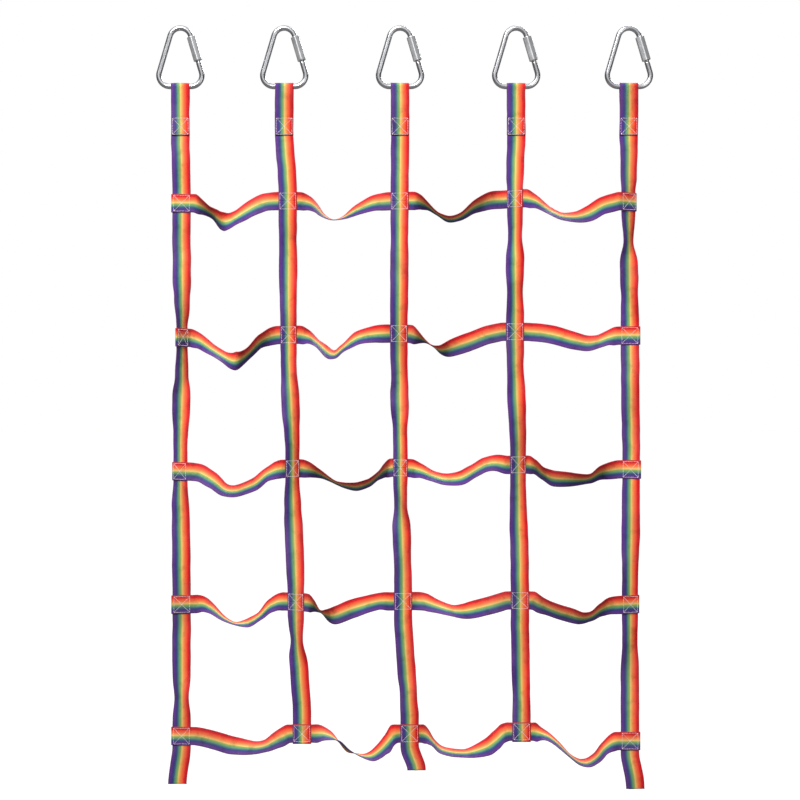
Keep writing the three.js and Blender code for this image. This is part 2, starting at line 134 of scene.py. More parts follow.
# The slack of each rung between two columns: [share of the span, sag in millimetres, roll in degrees].
RUNG_SPANS = [
    [
        [[0.1, 10, -45], [0.22, 28, -60], [0.33, 48, -30], [0.42, 51, 25], [0.53, 40, 42],
         [0.7, 18, 28], [0.88, 2, 12]],
        [[0.1, 5, 40], [0.18, 18, 65], [0.26, 38, 80], [0.37, 50, 86], [0.5, 43, 76],
         [0.66, 22, 54], [0.84, 5, 28]],
        [[0.08, 2, -42], [0.17, 15, -75], [0.27, 35, -86], [0.39, 50, -76], [0.52, 43, -66],
         [0.67, 17, -48], [0.84, 3, -18]],
        [[0.1, 8, 45], [0.24, 30, 64], [0.38, 45, 62], [0.55, 45, 46], [0.68, 34, 28], [0.82, 14, 18]],
    ],
    [
        [[0.1, 9, 38], [0.25, 33, 60], [0.4, 55, 58], [0.49, 65, 25], [0.57, 61, -40],
         [0.68, 43, -62], [0.8, 16, -50], [0.92, 4, -24]],
        [[0.1, 7, 50], [0.2, 24, 70], [0.32, 48, 56], [0.4, 54, 60], [0.5, 36, 66], [0.66, 11, 46],
         [0.85, 1, 26]],
        [[0.08, 8, -50], [0.16, 19, -80], [0.25, 35, -84], [0.33, 45, -60], [0.45, 39, -24],
         [0.62, 26, 0], [0.82, 9, 4]],
        [[0.25, 4, 5], [0.5, 17, 12], [0.67, 23, 28], [0.8, 17, 45], [0.9, 7, 40]],
    ],
    [
        [[0.12, 5, 20], [0.25, 24, 42], [0.38, 50, 54], [0.5, 54, 52], [0.7, 38, 52],
         [0.83, 14, 52], [0.93, 3, 28]],
        [[0.1, 4, -34], [0.22, 16, -60], [0.38, 37, -74], [0.5, 46, -68], [0.62, 49, -58],
         [0.76, 39, -62], [0.86, 20, -66], [0.93, 6, -46]],
        [[0.1, 7, 42], [0.22, 22, 58], [0.36, 32, 53], [0.52, 30, 44], [0.65, 14, 52],
         [0.77, -2, 46], [0.88, -6, 32]],
        [[0.07, 5, -46], [0.16, 22, -52], [0.27, 33, -28], [0.42, 33, -32], [0.56, 32, -48],
         [0.68, 28, -56], [0.8, 11, -38]],
    ],
    [
        [[0.1, 1, 42], [0.2, 14, 68], [0.32, 38, 84], [0.45, 53, 88], [0.6, 52, 68],
         [0.72, 36, 74], [0.82, 13, 60], [0.92, 1, 34]],
        [[0.08, 8, -54], [0.16, 25, -78], [0.25, 34, -38], [0.36, 31, 0], [0.52, 18, 6],
         [0.7, 7, 28], [0.87, -1, 30]],
        [[0.1, 2, 28], [0.22, 13, 50], [0.4, 25, 58], [0.52, 27, 42], [0.65, 21, 22], [0.83, 11, 20]],
        [[0.12, 12, -25], [0.3, 26, -29], [0.48, 34, -30], [0.58, 38, -44], [0.68, 32, -54],
         [0.78, 15, -44], [0.88, 4, -18]],
    ],
    [
        [[0.15, 8, 10], [0.35, 22, 20], [0.5, 29, 38], [0.65, 33, 57], [0.76, 29, 58],
         [0.87, 15, 38]],
        [[0.1, 0, 50], [0.2, 7, 78], [0.3, 22, 108], [0.4, 42, 112], [0.5, 51, 98], [0.6, 58, 86],
         [0.7, 57, 66], [0.8, 43, 54], [0.88, 25, 48], [0.95, 6, 30]],
        [[0.05, 5, 56], [0.12, 23, 80], [0.21, 42, 78], [0.35, 50, 74], [0.5, 52, 72],
         [0.65, 46, 52], [0.77, 36, 34], [0.87, 19, 38], [0.94, 5, 34]],
        [[0.06, 3, 52], [0.16, 8, 74], [0.28, 24, 84], [0.42, 50, 88], [0.54, 65, 80],
         [0.65, 64, 73], [0.76, 47, 72], [0.85, 22, 66], [0.93, 7, 42]],
    ],
]
SLACK_TENSION = 0.4

# Degrees, [roll above the middle, roll below it] of each column's lengths, the first one below its loop.
COLUMN_TWISTS = [
    [[0, 0], [0, -36], [-50, 30], [12, -10], [0, 34]],
    [[0, 0], [-18, 18], [28, -36], [-24, 0], [45, 0]],
    [[0, 8], [18, -12], [-24, 38], [48, -22], [0, 20]],
    [[10, 20], [44, -28], [-22, -18], [-20, 0], [0, 22]],
    [[-14, -20], [-52, 33], [14, 16], [22, -20], [-28, 0]],
]

# ---- Places worked out from them ----
HALF_WIDTH = STRAP_WIDTH / 2
HALF_THICKNESS = STRAP_THICKNESS / 2
COLUMN_PITCH = (NET_WIDTH - STRAP_WIDTH) / (COLUMNS - 1)
FLAT_HALF = HALF_WIDTH + FLAT_MARGIN
LEVEL_HALF = HALF_WIDTH + RUNG_MARGIN
LOOP_RADIUS = ROD_RADIUS + LOOP_CLEARANCE + HALF_THICKNESS
LOOP_TOP_Z = BAR_Z + LOOP_RADIUS + HALF_THICKNESS
SEAM_TOP_Z = LOOP_TOP_Z - LOOP_LENGTH + LOOP_SEAM_HEIGHT
SEAM_END_Z = LOOP_TOP_Z - LOOP_LENGTH


def middle_x(node):
    low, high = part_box(node)
    return (low.x + high.x) / 2


loop_x = {column: middle_x(f"quick_link_{column}") for column in columns}


def outer(column):
    return column in (1, COLUMNS)


def crossing_x(column, row):
    square = (column - (COLUMNS + 1) / 2) * COLUMN_PITCH
    return square + CROSSING_SHIFTS[row - 1][column - 1][0] * MM


def crossing_z(column, row):
    return FIRST_LEVEL - (row - 1) * ROW_PITCH + CROSSING_SHIFTS[row - 1][column - 1][1] * MM


def tail_fold_z(column):
    return crossing_z(column, ROWS) - HALF_WIDTH - TAIL_FOLD_DROP


def crossing_turn(column, row):
    return math.radians(CROSSING_TURNS[row - 1][column - 1])


def at_crossing(column, row, sideways, back, up=0.0):
    """A place at a crossing, from the middle of the vertical strap there, turned with the crossing."""
    turn = crossing_turn(column, row)
    return np.array([
        crossing_x(column, row) + sideways * math.cos(turn) + back * math.sin(turn),
        STRAP_Y - sideways * math.sin(turn) + back * math.cos(turn),
        crossing_z(column, row) + up,
    ])


# Layers are counted back from the vertical straps' mid-plane. In the last row the columns' ends pass
# behind the rung. Above it the rung passes behind them.
def rung_layer(column, row):
    if outer(column):
        return -LAYER_PITCH
    return 0.0 if row == ROWS else LAYER_PITCH


def column_layer(column, row):
    return 0.0 if row < ROWS or outer(column) else LAYER_PITCH


def eased(share):
    return share * share * (3 - 2 * share)


# ---- Webbing meshes ----
STEP = 0.0025  # between rings along the webbing
EDGE_SHARES = [-1, -0.985, -0.95]  # rings' points near an edge, as shares of the half width
MIDDLE_POINTS = 19  # between the two edges
SELVEDGE_BEAD = 0.00012
SELVEDGE_PLACE = 0.93
SELVEDGE_WIDTH = 0.05
EDGE_ROUNDING = 26  # the higher, the squarer the edges
CUP_DEPTH = 0.0007
CUP_RUN = 0.06  # each RUN is the length over which that movement comes and goes
RIPPLE_DEPTH = 0.0011
RIPPLE_RUN = 0.016
WIDTH_CHANGE = 0.016  # share of the width
WIDTH_RUN = 0.011
SWAY = 0.0007  # of the middle line, within the webbing's own plane
SWAY_RUN = 0.014
CALM_REACH = 0.03  # beyond a sewn crossing, until the webbing moves freely
STITCH_HALF_X = 0.0205  # of the sewn box at a crossing
STITCH_HALF_Z = 0.0205
PUCKER_DEPTH = 0.0004
PUCKER_WIDTH = 0.0016
LOOP_SEAM_INSET = 0.002
CUT_BEAD = 0.00022
CUT_LENGTH = 0.0022
CUT_RAGGEDNESS = 0.0005
RAGGED_PITCH = 0.0024
RAGGED_RUN = 0.004

middle = np.linspace(EDGE_SHARES[-1], -EDGE_SHARES[-1], MIDDLE_POINTS)
ACROSS = np.concatenate([EDGE_SHARES[:-1], middle, [-share for share in EDGE_SHARES[-2::-1]]])


def smooth_noise(seed, count, spacing, width):
    """A gentle random line, about -1 to 1, that varies over the given width."""
    rng = np.random.default_rng(seed)
    reach = max(2, int(4 * width / spacing))
    kernel = np.exp(-0.5 * (np.arange(-reach, reach + 1) * spacing / width) ** 2)
    line = np.convolve(rng.normal(size=count + 2 * reach), kernel / np.sqrt((kernel**2).sum()), "valid")
    return np.clip(line, -2, 2) / 2


def seam_distance(dx, dz, half_x, half_z):
    """How far points, measured from a sewn box's middle, are from its sides and its two diagonals."""
    ax, az = np.abs(dx), np.abs(dz)
    outside = np.hypot(np.maximum(ax - half_x, 0), np.maximum(az - half_z, 0))
    sides = np.maximum(np.minimum(np.abs(ax - half_x), np.abs(az - half_z)), outside)
    length = math.hypot(half_x, half_z)
    diagonals = np.minimum(np.abs(dx * half_z - dz * half_x), np.abs(dx * half_z + dz * half_x)) / length
    return np.minimum(sides, np.maximum(diagonals, outside))


class Seam:
    """A sewn box: its middle, its half sizes and how far it has turned about the vertical."""

    def __init__(self, x, z, half_x=STITCH_HALF_X, half_z=STITCH_HALF_Z, turn=0.0):
        self.middle = np.array([x, STRAP_Y, z])
        self.half_x, self.half_z = half_x, half_z
        self.sideways = np.array([math.cos(turn), -math.sin(turn), 0.0])
        self.back = np.array([math.sin(turn), math.cos(turn), 0.0])

    def place(self, sideways, back, up):
        return self.middle + self.sideways * sideways + self.back * back + np.array([0.0, 0.0, up])

    def local(self, points):
        offset = points - self.middle
        return offset @ self.sideways, offset[..., 2]

    def pucker(self, points):
        dx, dz = self.local(points)
        distance = seam_distance(dx, dz, self.half_x, self.half_z)
        return np.exp(-((distance / PUCKER_WIDTH) ** 2))


crossing_seams = {
    (column, row): Seam(crossing_x(column, row), crossing_z(column, row), turn=crossing_turn(column, row))
    for column in columns for row in rows
}
loop_seams = {
    column: Seam(
        loop_x[column], (SEAM_TOP_Z + SEAM_END_Z) / 2, STITCH_HALF_X, LOOP_SEAM_HEIGHT / 2 - LOOP_SEAM_INSET
    )
    for column in columns
}


def lengths_along(points):
    return np.concatenate([[0], np.cumsum(np.linalg.norm(np.diff(points, axis=0), axis=1))])


def resample(points, rolls, step=STEP):
    """The path at even steps along its length."""
    lengths = lengths_along(points)
    count = max(2, round(lengths[-1] / step) + 1)
    at = np.linspace(0, lengths[-1], count)
    places = np.stack([np.interp(at, lengths, points[:, i]) for i in range(3)], 1)
    return places, np.interp(at, lengths, rolls), at


def softened(values, width, step=STEP):
    """The values along a path, smoothed over a width, with the ends kept."""
    reach = int(3 * width / step)
    kernel = np.exp(-0.5 * (np.arange(-reach, reach + 1) * step / width) ** 2)
    before, after = 2 * values[0] - values[reach:0:-1], 2 * values[-1] - values[-2:-reach - 2:-1]
    return np.convolve(np.concatenate([before, values, after]), kernel / kernel.sum(), "valid")


def ring_quads(count, around):
    """The quads between closed rings of points that follow one another."""
    ring = np.arange(around)
    base = (np.arange(count - 1) * around)[:, None]
    here, there = base + ring, base + (ring + 1) % around
    return np.stack([here, there, there + around, here + around], -1).reshape(-1, 4)


def facing_out(faces, vertices, quads):
    """The faces, turned over if the tube that its quads make is inside out."""
    a, b, c = (vertices[quads[:, i]] for i in range(3))
    if np.einsum("ij,ij->i", a, np.cross(b, c)).sum() < 0:
        return [face[::-1] for face in faces]
    return faces


def mesh_object(name, vertices, faces, material, flat_faces=(), uv=None, attributes=()):
    mesh = bpy.data.meshes.new(name)
    sizes = np.array([len(face) for face in faces], np.int32)
    corners = np.concatenate([np.asarray(face, np.int32) for face in faces])
    mesh.vertices.add(len(vertices))
    mesh.vertices.foreach_set("co", np.asarray(vertices, np.float32).ravel())
    mesh.loops.add(len(corners))
    mesh.loops.foreach_set("vertex_index", corners)
    mesh.polygons.add(len(sizes))
    mesh.polygons.foreach_set("loop_start", np.concatenate([[0], np.cumsum(sizes)[:-1]]).astype(np.int32))
    mesh.update(calc_edges=True)
    smooth = np.ones(len(sizes), bool)
    smooth[list(flat_faces)] = False
    mesh.polygons.foreach_set("use_smooth", smooth)
    if uv is not None:
        layer = mesh.uv_layers.new(name="weave")
        layer.data.foreach_set("uv", np.asarray(uv, np.float32)[corners].ravel())
    for attribute, values in dict(attributes).items():
        data = mesh.attributes.new(attribute, "FLOAT", "POINT").data
        data.foreach_set("value", np.asarray(values, np.float32))
    mesh.materials.append(material)
    mesh.validate()
    piece = bpy.data.objects.new(name, mesh)
    bpy.context.scene.collection.objects.link(piece)
    return piece


def both_faces(front, back):
    """Closed rings: across the front from edge to edge, then back across the other face."""
    return np.concatenate([front, back[:, -2:0:-1]], axis=1)


def webbing(name, points, rolls, flat, material, seed, seams, calm, cuts, start_at=0.0):
    """A length of webbing along a path of points already at even steps.

    flat is the direction that an unrolled width lies in. calm gives the share of the curl and ripple
    that each ring keeps. cuts says which ends are cut ends, and start_at is where the first ring lies
    along the whole strap, so that the weave runs on.
    """
    count = len(points)
    flat = np.array(flat, float)
    along = np.gradient(points, axis=0)
    along /= np.linalg.norm(along, axis=1)[:, None]
    run = along - np.outer(along @ flat, flat)
    run /= np.linalg.norm(run, axis=1)[:, None]
    level = flat - along * (along @ flat)[:, None]
    level /= np.linalg.norm(level, axis=1)[:, None]
    turned = np.cross(along, level)
    across = level * np.cos(rolls)[:, None] + turned * np.sin(rolls)[:, None]
    face = np.cross(along, across)
    shear = -np.einsum("ij,ij->i", across, run) / np.einsum("ij,ij->i", along, run)

    steps = np.linalg.norm(np.diff(points, axis=0), axis=1)
    length_at = np.concatenate([[0], np.cumsum(steps)])
    step = steps.mean()
    cup = CUP_DEPTH * (0.5 + 0.5 * smooth_noise(seed, count, step, CUP_RUN)) * calm
    left = RIPPLE_DEPTH * smooth_noise(seed + 1, count, step, RIPPLE_RUN) * calm
    right = RIPPLE_DEPTH * smooth_noise(seed + 2, count, step, RIPPLE_RUN) * calm
    width = HALF_WIDTH * (1 + WIDTH_CHANGE * calm * smooth_noise(seed + 3, count, step, WIDTH_RUN))
    sway = SWAY * calm * smooth_noise(seed + 4, count, step, SWAY_RUN)

    u = ACROSS[None, :]
    bend = cup[:, None] * (u**2 - 0.33)
    bend = bend + np.where(u < 0, left[:, None], right[:, None]) * np.abs(u) ** 3
    ends = np.zeros(count)
    for side, cut in enumerate(cuts):
        if cut:
            from_end = length_at if side == 0 else length_at[-1] - length_at
            ends = np.maximum(ends, np.exp(-((from_end / CUT_LENGTH) ** 2)))
    inside = np.abs(u) < 0.99
    half = HALF_THICKNESS * (1 - np.abs(ACROSS) ** EDGE_ROUNDING) ** 0.5
    half = half + SELVEDGE_BEAD * np.exp(-(((np.abs(ACROSS) - SELVEDGE_PLACE) / SELVEDGE_WIDTH) ** 2))
    half[0] = half[-1] = 0
    half = half[None, :] + ends[:, None] * CUT_BEAD * inside

    offset = (u * width[:, None] + sway[:, None])[..., None]
    skew = (across + shear[:, None] * along)[:, None, :]
    middle_surface = points[:, None, :] + offset * skew + bend[..., None] * face[:, None, :]
    for side, cut in enumerate(cuts):
        if cut:
            ring = 0 if side == 0 else -1
            line = smooth_noise(seed + 5 + side, len(ACROSS), RAGGED_PITCH, RAGGED_RUN)
            ragged = CUT_RAGGEDNESS * line
            middle_surface[ring] += ragged[:, None] * along[ring]
    pucker = np.zeros((count, len(ACROSS)))
    for seam in seams:
        pucker = np.maximum(pucker, seam.pucker(middle_surface))
    half = half - PUCKER_DEPTH * pucker * inside
    lift = half[..., None] * face[:, None, :]
    rings = both_faces(middle_surface + lift, middle_surface - lift)
    around = rings.shape[1]

    v = start_at + length_at[:, None] + u * width[:, None] * shear[:, None]
    flat_uv = np.stack([np.broadcast_to((u + 1) / 2, v.shape), v], -1)
    uv = both_faces(flat_uv, flat_uv).reshape(-1, 2)
    cut_share = np.broadcast_to(ends[:, None], pucker.shape)
    attributes = {"cut": both_faces(cut_share, cut_share).ravel()}

    quads = ring_quads(count, around)
    faces = list(quads)
    flat_faces = []
    for end, first in ((0, 0), (1, (count - 1) * around)):
        for k in range(len(ACROSS) - 1):
            behind, behind_next = (around - k) % around, (around - k - 1) % around
            corner = [k, k + 1, behind_next, behind]
            corner = [i for n, i in enumerate(corner) if i not in corner[:n]]
            corner = [first + i for i in (corner if end else corner[::-1])]
            flat_faces.append(len(faces))
            faces.append(np.array(corner))
    vertices = rings.reshape(-1, 3)
    faces = facing_out(faces, vertices, quads)
    return mesh_object(name, vertices, faces, material, flat_faces, uv, attributes)


# ---- Materials ----
def srgb(red, green, blue):
    values = (red / 255, green / 255, blue / 255)
    return tuple(v / 12.92 if v <= 0.04045 else ((v + 0.055) / 1.055) ** 2.4 for v in values) + (1,)


STRIPES = [
    (0.00, (106, 54, 140)), (0.10, (92, 50, 136)), (0.18, (76, 52, 130)), (0.24, (50, 64, 124)),
    (0.30, (60, 100, 128)), (0.36, (92, 148, 118)), (0.43, (120, 170, 98)), (0.48, (164, 180, 92)),
    (0.52, (242, 206, 118)), (0.57, (252, 178, 98)), (0.65, (252, 134, 72)), (0.73, (254, 100, 58)),
    (0.81, (244, 66, 44)), (0.86, (218, 26, 36)), (1.00, (202, 10, 32)),
]
THREAD_COLOUR = (246, 234, 238)


class Nodes:
    """A short way to write nodes."""

    def __init__(self, owner):
        owner.use_nodes = True
        self.tree = owner.node_tree

    def of_type(self, kind):
        return next(node for node in self.tree.nodes if node.type == kind)

    def node(self, kind, **settings):
        made = self.tree.nodes.new(kind)
        for key, value in settings.items():
            setattr(made, key, value)
        return made

    def link(self, source, target):
        self.tree.links.new(source, target)

    def put(self, target, value):
        if isinstance(value, bpy.types.NodeSocket):
            self.link(value, target)
        else:
            target.default_value = value

    def math(self, operation, first, second=0.0):
        made = self.node("ShaderNodeMath", operation=operation)
        self.put(made.inputs[0], first)
        self.put(made.inputs[1], second)
        return made.outputs[0]

    def mix(self, share, first, second, blend="MIX"):
        made = self.node("ShaderNodeMix", data_type="RGBA", blend_type=blend)
        self.put(made.inputs[0], share)
        self.put(made.inputs[6], first)
        self.put(made.inputs[7], second)
        return made.outputs[2]

    def spread(self, value, low, high, new_low, new_high):
        made = self.node("ShaderNodeMapRange")
        for socket, number in zip(made.inputs, (value, low, high, new_low, new_high)):
            self.put(socket, number)
        return made.outputs[0]

    def noise(self, vector, scale, detail=2.0, roughness=0.5):
        made = self.node("ShaderNodeTexNoise")
        self.put(made.inputs["Vector"], vector)
        made.inputs["Scale"].default_value = scale
        made.inputs["Detail"].default_value = detail
        made.inputs["Roughness"].default_value = roughness
        return made.outputs[0]

    def vector(self, x=0.0, y=0.0, z=0.0):
        made = self.node("ShaderNodeCombineXYZ")
        for socket, value in zip(made.inputs, (x, y, z)):
            self.put(socket, value)
        return made.outputs[0]

    def bump(self, height, distance, strength):
        made = self.node("ShaderNodeBump")
        made.inputs["Strength"].default_value = strength
        made.inputs["Distance"].default_value = distance
        self.put(made.inputs["Height"], height)
        return made.outputs[0]


class Tree(Nodes):
    """The nodes of a new material."""

    def __init__(self, name):
        self.material = bpy.data.materials.new(name)
        super().__init__(self.material)
        self.shader = self.of_type("BSDF_PRINCIPLED")


WEFT_PITCH = 0.0016
WARP_ENDS = 46
STRIPE_WANDER = 0.018  # share of the width that a stripe's edge moves from thread to thread
WEAVE_DEPTH = 0.00035


def webbing_material(name, soil):
    """Woven polyester: rainbow warp, ribs across it, thread-by-thread variation, sheen and handling marks,
    with painted shade between the threads and, in part, along the edges and at the cut ends.
    """
    m = Tree(name)
    uv = m.node("ShaderNodeUVMap", uv_map="weave").outputs[0]
    parts = m.node("ShaderNodeSeparateXYZ")
    m.link(uv, parts.inputs[0])
    across, length = parts.outputs[0], parts.outputs[1]
    place = m.node("ShaderNodeTexCoord").outputs["Object"]

    # Each warp end keeps its own shade, and the stripes change from one end to the next.
    end = m.math("MULTIPLY", across, float(WARP_ENDS))
    end_number = m.math("FLOOR", end)
    end_shade = m.noise(m.vector(end_number, m.math("MULTIPLY", length, 3.0), 0.0), 1.7, 1.0)
    pick = m.math("MULTIPLY", length, 1 / WEFT_PITCH)
    wander = m.math("SUBTRACT", m.noise(m.vector(end, pick, 0.0), 0.9, 1.0), 0.5)
    stripe_place = m.math("ADD", across, m.math("MULTIPLY", wander, STRIPE_WANDER))
    ramp = m.node("ShaderNodeValToRGB")
    while len(ramp.color_ramp.elements) < len(STRIPES):
        ramp.color_ramp.elements.new(0.5)
    for stop, (position, colour) in zip(ramp.color_ramp.elements, STRIPES):
        stop.position = position
        stop.color = srgb(*colour)
    m.link(stripe_place, ramp.inputs[0])

    # Ribs: rounded weft ridges that step by half a pitch from one warp end to the next.
    shift = m.math("MULTIPLY", m.math("MODULO", end_number, 2.0), 0.5)
    ridge = m.math("ABSOLUTE", m.math("SINE", m.math("MULTIPLY", m.math("ADD", pick, shift), math.pi)))
    groove = m.math("ABSOLUTE", m.math("SINE", m.math("MULTIPLY", end, math.pi)))
    weave = m.math("MULTIPLY", m.math("POWER", ridge, 0.6), m.math("POWER", groove, 0.5))

    # Painted shade: the colour is darkened in the gaps between the threads, where the weave dips.
    colour = m.mix(m.spread(weave, 0.0, 0.7, 0.34, 0.0), ramp.outputs[0], srgb(24, 14, 30), "MULTIPLY")
    shade = m.spread(end_shade, 0.3, 0.7, 0.0, 0.10)
    colour = m.mix(shade, colour, srgb(255, 250, 240), "SOFT_LIGHT")
    faded = m.spread(m.noise(place, 9.0, 3.0), 0.42, 0.66, 0.0, 0.04)
    colour = m.mix(faded, colour, srgb(214, 202, 196))
    deep = m.spread(m.noise(place, 7.0, 2.0), 0.45, 0.7, 0.0, 0.5)
    colour = m.mix(deep, colour, srgb(196, 178, 190), "MULTIPLY")
    dirt = m.math("MULTIPLY", m.spread(m.noise(place, 34.0, 5.0, 0.62), 0.52, 0.72, 0.0, 1.0), soil)
    colour = m.mix(dirt, colour, srgb(120, 104, 92), "MULTIPLY")
    edge = m.math("MULTIPLY", m.math("ABSOLUTE", m.math("SUBTRACT", across, 0.5)), 2.0)
    # Darker line along both edges: partly the selvedge's own deeper colour, partly painted shade where the
    # rounded edges turn away.
    colour = m.mix(m.spread(edge, 0.86, 0.97, 0.0, 0.55), colour, srgb(176, 120, 150), "MULTIPLY")
    rubbed = m.spread(m.noise(place, 120.0, 2.0), 0.4, 0.6, 0.2, 1.0)
    worn = m.math("MULTIPLY", m.spread(edge, 0.94, 1.0, 0.0, 0.12), rubbed)
    colour = m.mix(worn, colour, srgb(240, 226, 214))
    # Cut ends darkened: partly the heat-sealed end's own darker colour, partly a painted shadow along the cut
    # edge.
    cut = m.node("ShaderNodeAttribute", attribute_name="cut").outputs["Fac"]
    colour = m.mix(m.math("MULTIPLY", cut, 0.62), colour, srgb(40, 20, 22))
    m.link(colour, m.shader.inputs["Base Color"])

    rough = m.spread(m.noise(place, 60.0, 3.0), 0.3, 0.7, 0.62, 0.82)
    rough = m.math("SUBTRACT", rough, m.math("MULTIPLY", cut, 0.3))
    m.link(rough, m.shader.inputs["Roughness"])
    m.shader.inputs["Sheen Weight"].default_value = 0.08
    m.shader.inputs["Sheen Roughness"].default_value = 0.45
    m.shader.inputs["Specular IOR Level"].default_value = 0.18
    fibres = m.vector(m.math("MULTIPLY", across, 60.0), m.math("MULTIPLY", length, 900.0), 0.0)
    height = m.math("ADD", weave, m.math("MULTIPLY", m.noise(fibres, 2.0, 3.0), 0.35))
    m.link(m.bump(height, WEAVE_DEPTH, 0.8), m.shader.inputs["Normal"])
    return m.material


def thread_material():
    m = Tree("stitch_thread")
    place = m.node("ShaderNodeTexCoord").outputs["Object"]
    twist = m.node("ShaderNodeTexWave", wave_type="BANDS", bands_direction="DIAGONAL")
    m.link(place, twist.inputs["Vector"])
    twist.inputs["Scale"].default_value = 900.0
    soiled = m.spread(m.noise(place, 80.0, 3.0), 0.4, 0.7, 0.0, 0.5)
    colour = m.mix(soiled, srgb(*THREAD_COLOUR), srgb(196, 182, 176))
    # Painted shade: the colour is darkened in the grooves of the thread's twist.
    colour = m.mix(m.spread(twist.outputs["Fac"], 0.0, 1.0, 0.14, 0.0), colour, srgb(120, 108, 104))
    m.link(colour, m.shader.inputs["Base Color"])
    m.link(m.spread(twist.outputs["Fac"], 0.0, 1.0, 0.62, 0.46), m.shader.inputs["Roughness"])
    m.shader.inputs["Sheen Weight"].default_value = 0.2
    m.link(m.bump(twist.outputs["Fac"], 0.0001, 0.6), m.shader.inputs["Normal"])
    return m.material


def steel_material(name, colour, roughness, brushing):
    """Stainless steel, with a brushed grain round the piece."""
    m = Tree(name)
    place = m.node("ShaderNodeTexCoord").outputs["Object"]
    stretched = m.node("ShaderNodeMapping")
    m.link(place, stretched.inputs["Vector"])
    stretched.inputs["Scale"].default_value = (1.0, 1.0, 14.0)
    grain = m.noise(stretched.outputs[0], 260.0, 4.0, 0.6)
    cloud = m.noise(place, 42.0, 3.0)
    duller, darker = (srgb(*[share * value for value in colour]) for share in (0.82, 0.7))
    tone = m.mix(m.spread(cloud, 0.35, 0.7, 0.0, 0.35), srgb(*colour), duller)
    tone = m.mix(m.spread(grain, 0.4, 0.62, 0.0, brushing), tone, darker)
    m.link(tone, m.shader.inputs["Base Color"])
    m.shader.inputs["Metallic"].default_value = 1.0
    smear = m.math("ADD", m.spread(cloud, 0.3, 0.7, -0.04, 0.07), m.spread(grain, 0.3, 0.7, -0.03, 0.05))
    m.link(m.math("ADD", smear, roughness), m.shader.inputs["Roughness"])
    m.link(m.bump(grain, 0.00003, brushing), m.shader.inputs["Normal"])
    return m.material


strap_webbing = webbing_material("strap_webbing", 0.35)
rung_webbing = webbing_material("rung_webbing", 0.45)
stitch_thread = thread_material()
link_steel = steel_material("link_steel", (206, 207, 211), 0.26, 0.12)
sleeve_steel = steel_material("sleeve_steel", (240, 241, 243), 0.42, 0.25)


def finish_webbing(piece, bodies):
    if len(bodies) == 1:
        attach(piece, bodies[0])
    else:
        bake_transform(piece)


def calmness(gap):
    """0 where the webbing is sewn flat, 1 where it moves freely, by the distance from a crossing's middle."""
    return np.clip((gap - HALF_WIDTH) / CALM_REACH, 0, 1)


# ---- Rungs ----
DENSE = 24  # points of a slack curve between two of its places


def slack_curve(places):
    points = np.array([[0, 0, 0], *places, [1, 0, 0]], float)
    beyond = np.vstack([2 * points[0] - points[1], points, 2 * points[-1] - points[-2]])
    t = np.linspace(0, 1, DENSE, endpoint=False)[:, None]
    pieces = []
    for before, first, second, after in zip(beyond, beyond[1:], beyond[2:], beyond[3:]):
        leave, arrive = SLACK_TENSION * (second - before), SLACK_TENSION * (after - first)
        pieces.append(
            first * (2 * t**3 - 3 * t**2 + 1) + leave * (t**3 - 2 * t**2 + t)
            + second * (3 * t**2 - 2 * t**3) + arrive * (t**3 - t**2)
        )
    return np.vstack([*pieces, points[-1:]])


def rung_span(row, column):
    start = at_crossing(column, row, LEVEL_HALF, rung_layer(column, row))
    end = at_crossing(column + 1, row, -LEVEL_HALF, rung_layer(column + 1, row))
    curve = slack_curve(RUNG_SPANS[row - 1][column - 1])
    share = curve[:, 0]
    x = start[0] + (end[0] - start[0]) * share
    y = start[1] + (end[1] - start[1]) * eased(share) - SPAN_BULGE * np.sin(np.pi * share) ** 2
    z = start[2] + (end[2] - start[2]) * share - curve[:, 1] * MM
    return np.stack([x, y, z], 1), np.radians(-curve[:, 2])


FOLD_POINTS = 12
RUNG_STEP = 0.0022
SOFTENING = 0.0045  # width over which a rung's bends and rolls are evened out


def rung_end(row, column, side):
    """The rung wraps round the outer column's edge to a tab behind it. side: -1 left, 1 right."""
    path = [at_crossing(column, row, -side * (HALF_WIDTH - END_TAB_INSET), LAYER_PITCH)]
    for angle in np.linspace(np.pi / 2, -np.pi / 2, FOLD_POINTS):
        sideways = side * (HALF_WIDTH + LAYER_PITCH * math.cos(angle))
        path.append(at_crossing(column, row, sideways, LAYER_PITCH * math.sin(angle)))
    return np.array(path if side < 0 else path[::-1])


def build_rung(row):
    middles = [at_crossing(column, row, 0.0, rung_layer(column, row)) for column in columns]
    spans = [rung_span(row, column) for column in columns if column < COLUMNS]
    points = np.vstack([middles[0], *[points for points, _ in spans], middles[-1]])
    rolls = np.concatenate([[0.0], *[rolls for _, rolls in spans], [0.0]])
    points, rolls, _ = resample(points, rolls)
    gap = np.min([np.linalg.norm(points - middle, axis=1) for middle in middles], axis=0)
    calm = calmness(gap)
    for axis in range(3):
        points[:, axis] = softened(points[:, axis], SOFTENING)
    rolls = softened(rolls, SOFTENING)
    left, right = rung_end(row, 1, -1), rung_end(row, COLUMNS, 1)
    points = np.vstack([left, points, right])
    rolls = np.concatenate([np.zeros(len(left)), rolls, np.zeros(len(right))])
    calm = np.concatenate([np.zeros(len(left)), calm, np.zeros(len(right))])
    lengths = lengths_along(points)
    points, rolls, at = resample(points, rolls, RUNG_STEP)
    piece = webbing(
        f"rung_webbing_{row}", points, rolls, (0, 0, 1), rung_webbing, 100 * row,
        seams=[crossing_seams[column, row] for column in columns], calm=np.interp(at, lengths, calm),
        cuts=(True, True),
    )
    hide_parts(f"rung_{row}")
    finish_webbing(piece, [f"row_{row}"])


# ---- Vertical straps ----
RUN_POINTS = 80
LOOP_POINTS = 40


